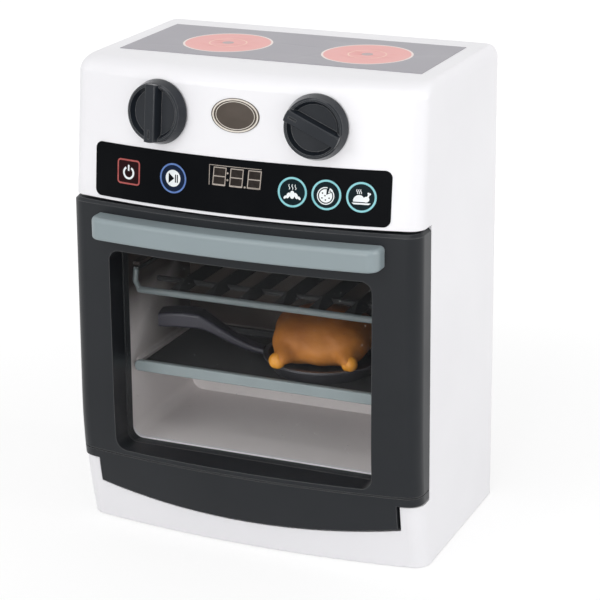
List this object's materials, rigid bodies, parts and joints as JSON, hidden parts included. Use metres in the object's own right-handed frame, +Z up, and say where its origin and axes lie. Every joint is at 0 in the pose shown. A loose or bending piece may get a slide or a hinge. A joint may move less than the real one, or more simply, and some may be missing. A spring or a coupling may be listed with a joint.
{
  "type": "toy oven",
  "caption": "Toy oven with a bow-fronted housing, drop-down windowed door, two turning knobs, printed hob and panel, slide-out rack and shelf, and a play roast in a pan.",
  "frame": {"origin": "on the floor, under the middle of the whole object", "axes": "+Z up, the door faces -Y, +X to the right of someone facing the door"},
  "size_m": [0.194, 0.1403, 0.2547],
  "materials": {
    "white_shell": "gloss",
    "charcoal": "semi-gloss",
    "knob_dark": "gloss",
    "grey_green": "satin",
    "grey_rack": "satin",
    "white_inner": "satin",
    "pane_clear": "clear gloss",
    "print_panel": "gloss film with printed icons",
    "print_hob": "gloss film with printed rings",
    "print_badge": "printed film",
    "foot_rubber": "matt",
    "screw_steel": "zinc plated",
    "board_green": "matt",
    "board_black": "matt",
    "lamp_lens": "clear gloss",
    "cell_case": "plain wrapped cell",
    "lead_red": "matt",
    "inner_black": "matt",
    "pan_dark": "gloss",
    "pan_grip": "gloss",
    "roast": "satin",
    "nylon_white": "matt"
  },
  "bodies": {
    "housing": {"body_shell": "white_shell", "hinge_pins": "screw_steel", "rear_cover": "white_shell", "rear_cover_screws": "screw_steel", "base_plate": "white_shell", "base_screws": "screw_steel", "rubber_feet": "foot_rubber", "control_panel": "print_panel", "badge_oval": "print_badge", "hob_sheet": "print_hob", "cavity_liner": "white_inner", "liner_screws": "screw_steel", "lamp_lens": "lamp_lens", "cavity_lamp": "lamp_lens", "circuit_board": "board_green", "board_parts": "board_black", "board_screws": "screw_steel", "speaker": "inner_black", "battery_box": "white_inner", "battery_cells": "cell_case", "battery_contacts": "screw_steel", "battery_door": "white_shell", "battery_door_screw": "screw_steel", "leads": "lead_red", "door_catch": "white_shell", "click_springs": "nylon_white", "knob_switches": "inner_black"},
    "door": {"door_frame": "charcoal", "door_inner_frame": "charcoal", "inner_frame_screws": "screw_steel", "window_pane": "pane_clear", "door_handle": "grey_green", "handle_screws": "screw_steel"},
    "left_knob_body": {"left_knob": "knob_dark", "left_click_wheel": "nylon_white", "left_knob_screw": "screw_steel"},
    "right_knob_body": {"right_knob": "knob_dark", "right_click_wheel": "nylon_white", "right_knob_screw": "screw_steel"},
    "rack": {"upper_rack": "grey_rack"},
    "shelf": {"lower_shelf": "grey_green", "frying_pan": "pan_dark", "pan_handle": "pan_grip", "roast_chicken": "roast"}
  },
  "joints": [
    {"name": "door_hinge", "type": "hinge", "parent": "housing", "child": "door", "pos_m": [0, -0.0468, 0.032], "axis": [1, 0, 0], "range_deg": [0, 90]},
    {"name": "left_knob_turn", "type": "hinge", "parent": "housing", "child": "left_knob_body", "pos_m": [-0.0424, -0.05183, 0.2326], "axis": [-0.1033, -0.9897, 0.099], "continuous": true},
    {"name": "right_knob_turn", "type": "hinge", "parent": "housing", "child": "right_knob_body", "pos_m": [0.0424, -0.05183, 0.2326], "axis": [0.1033, -0.9897, 0.099], "continuous": true},
    {"name": "rack_slide", "type": "slide", "parent": "housing", "child": "rack", "axis": [0, -1, 0], "range_m": [0, 0.041]},
    {"name": "shelf_slide", "type": "slide", "parent": "housing", "child": "shelf", "axis": [0, -1, 0], "range_m": [0, 0.041]}
  ],
  "couplings": [
    {"joint": "rack_slide", "follows": "door_hinge", "m_per_rad": 0.0255},
    {"joint": "shelf_slide", "follows": "door_hinge", "m_per_rad": 0.0255}
  ]
}
